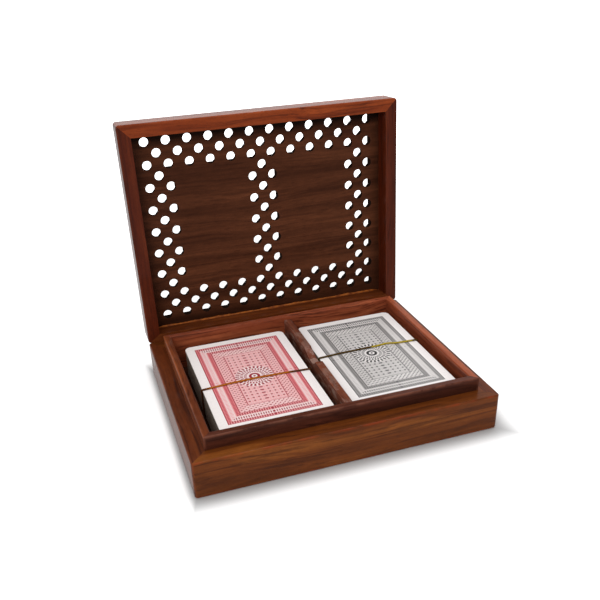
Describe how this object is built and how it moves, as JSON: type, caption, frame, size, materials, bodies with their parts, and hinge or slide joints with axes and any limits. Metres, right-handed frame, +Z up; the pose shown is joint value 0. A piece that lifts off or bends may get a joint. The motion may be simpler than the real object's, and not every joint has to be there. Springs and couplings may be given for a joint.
{
  "type": "playing card box",
  "caption": "Lacquered rosewood box for two decks of cards, with a pierced hinged lid standing open and a card deck in each compartment.",
  "frame": {"origin": "centre of the base's underside", "axes": "+Z up, +X to the right along the long side, +Y to the hinged back"},
  "size_m": [0.158, 0.1456, 0.1423],
  "materials": {
    "base_wood": "semi-gloss lacquer",
    "lining_wood": "semi-gloss lacquer",
    "lid_wood": "semi-gloss lacquer",
    "panel_wood": "satin lacquer",
    "hinge_brass": "satin",
    "pin_brass": "satin",
    "screw_brass": "polished",
    "card_edges": "stacked cut edges",
    "red_card_back": "coated card, printed",
    "black_card_back": "coated card, printed",
    "elastic_cord": "covered cord"
  },
  "bodies": {
    "base": {"base_front_wall": "base_wood", "base_back_wall": "base_wood", "base_left_wall": "base_wood", "base_right_wall": "base_wood", "base_floor": "base_wood", "liner_front": "lining_wood", "liner_back": "lining_wood", "liner_left": "lining_wood", "liner_right": "lining_wood", "divider": "lining_wood", "left_hinge_base_leaf": "hinge_brass", "left_hinge_pin": "pin_brass", "left_hinge_base_screws": "screw_brass", "right_hinge_base_leaf": "hinge_brass", "right_hinge_pin": "pin_brass", "right_hinge_base_screws": "screw_brass"},
    "lid": {"lid_front_rail": "lid_wood", "lid_back_rail": "lid_wood", "lid_left_rail": "lid_wood", "lid_right_rail": "lid_wood", "lid_panel": "panel_wood", "left_hinge_lid_leaf": "hinge_brass", "left_hinge_lid_screws": "screw_brass", "right_hinge_lid_leaf": "hinge_brass", "right_hinge_lid_screws": "screw_brass"},
    "red_deck_body": {"red_deck": "card_edges", "red_top_card": "red_card_back", "red_band": "elastic_cord"},
    "black_deck_body": {"black_deck": "card_edges", "black_top_card": "black_card_back", "black_band": "elastic_cord"}
  },
  "joints": [
    {"name": "lid_hinge", "type": "hinge", "parent": "base", "child": "lid", "pos_m": [0, 0.06105, 0.02005], "axis": [1, 0, 0], "range_deg": [0, 93.5]},
    {"name": "red_deck_lift", "type": "slide", "parent": "base", "child": "red_deck_body", "axis": [0, 0, 1], "range_m": [0, 0.007]},
    {"name": "black_deck_lift", "type": "slide", "parent": "base", "child": "black_deck_body", "axis": [0, 0, 1], "range_m": [0, 0.007]}
  ]
}
